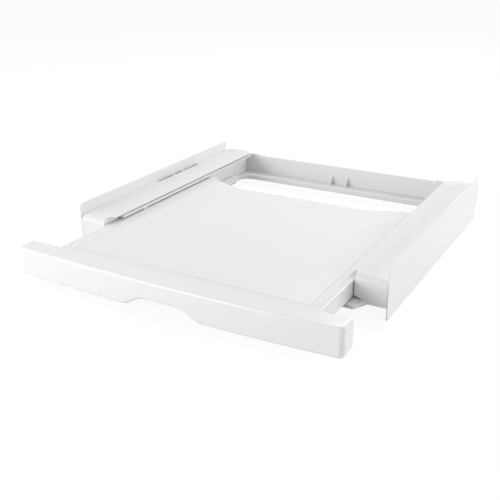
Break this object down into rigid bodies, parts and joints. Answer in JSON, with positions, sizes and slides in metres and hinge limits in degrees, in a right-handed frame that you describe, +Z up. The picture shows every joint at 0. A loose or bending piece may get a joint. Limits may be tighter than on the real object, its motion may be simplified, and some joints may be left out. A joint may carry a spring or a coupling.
{
  "type": "washer dryer stacking kit",
  "caption": "White stacking frame that joins a dryer on top of a washer, with steel sides, ledges, a rear crossbar and a pull-out shelf with a bowed front and a finger grip",
  "frame": {"origin": "centre of the footprint, at the lower edges of the steel side panels that hang beside the washer", "axes": "X across the kit to the right seen from the front, Y from the front to the back, Z up; the shelf pulls out towards -Y"},
  "size_m": [0.6, 0.7018, 0.0885],
  "materials": {
    "powder_coated_steel": "smooth white powder coat, satin gloss",
    "white_moulding": "white moulded plastic, semi-gloss",
    "white_gloss_plastic": "white moulded plastic, high gloss",
    "white_board": "white flat board, satin",
    "glide_plastic": "natural low-friction plastic",
    "zinc_steel": "zinc plated",
    "foam_rubber": "dense light grey foam rubber"
  },
  "bodies": {
    "frame": {"side_panel_left": "powder_coated_steel", "side_panel_right": "powder_coated_steel", "side_beam_left": "white_moulding", "side_beam_right": "white_moulding", "rear_crossbar": "white_moulding", "upper_guide_left": "glide_plastic", "upper_guide_right": "glide_plastic", "lower_glide_left": "glide_plastic", "lower_glide_right": "glide_plastic", "foot_pad_front_left": "foam_rubber", "foot_pad_front_right": "foam_rubber", "foot_pad_rear_left": "foam_rubber", "foot_pad_rear_right": "foam_rubber", "panel_standoff_left_front": "zinc_steel", "panel_standoff_left_middle": "zinc_steel", "panel_standoff_left_rear": "zinc_steel", "panel_standoff_right_front": "zinc_steel", "panel_standoff_right_middle": "zinc_steel", "panel_standoff_right_rear": "zinc_steel", "panel_screw_left_front": "zinc_steel", "panel_screw_left_middle": "zinc_steel", "panel_screw_left_rear": "zinc_steel", "panel_screw_right_front": "zinc_steel", "panel_screw_right_middle": "zinc_steel", "panel_screw_right_rear": "zinc_steel", "guide_screw_left_front": "zinc_steel", "guide_screw_left_middle": "zinc_steel", "guide_screw_left_rear": "zinc_steel", "guide_screw_right_front": "zinc_steel", "guide_screw_right_middle": "zinc_steel", "guide_screw_right_rear": "zinc_steel", "crossbar_screw_left_front": "zinc_steel", "crossbar_screw_left_rear": "zinc_steel", "crossbar_screw_right_front": "zinc_steel", "crossbar_screw_right_rear": "zinc_steel"},
    "drawer": {"shelf_tray": "white_gloss_plastic", "shelf_panel": "white_board", "drawer_fascia": "white_gloss_plastic", "rear_shoe_left": "glide_plastic", "rear_shoe_right": "glide_plastic", "fascia_screw_1": "zinc_steel", "fascia_screw_2": "zinc_steel", "fascia_screw_3": "zinc_steel", "fascia_screw_4": "zinc_steel"}
  },
  "joints": [
    {"name": "shelf_slide", "type": "slide", "parent": "frame", "child": "drawer", "axis": [0, -1, 0], "range_m": [-0.1273, 0.221]}
  ]
}
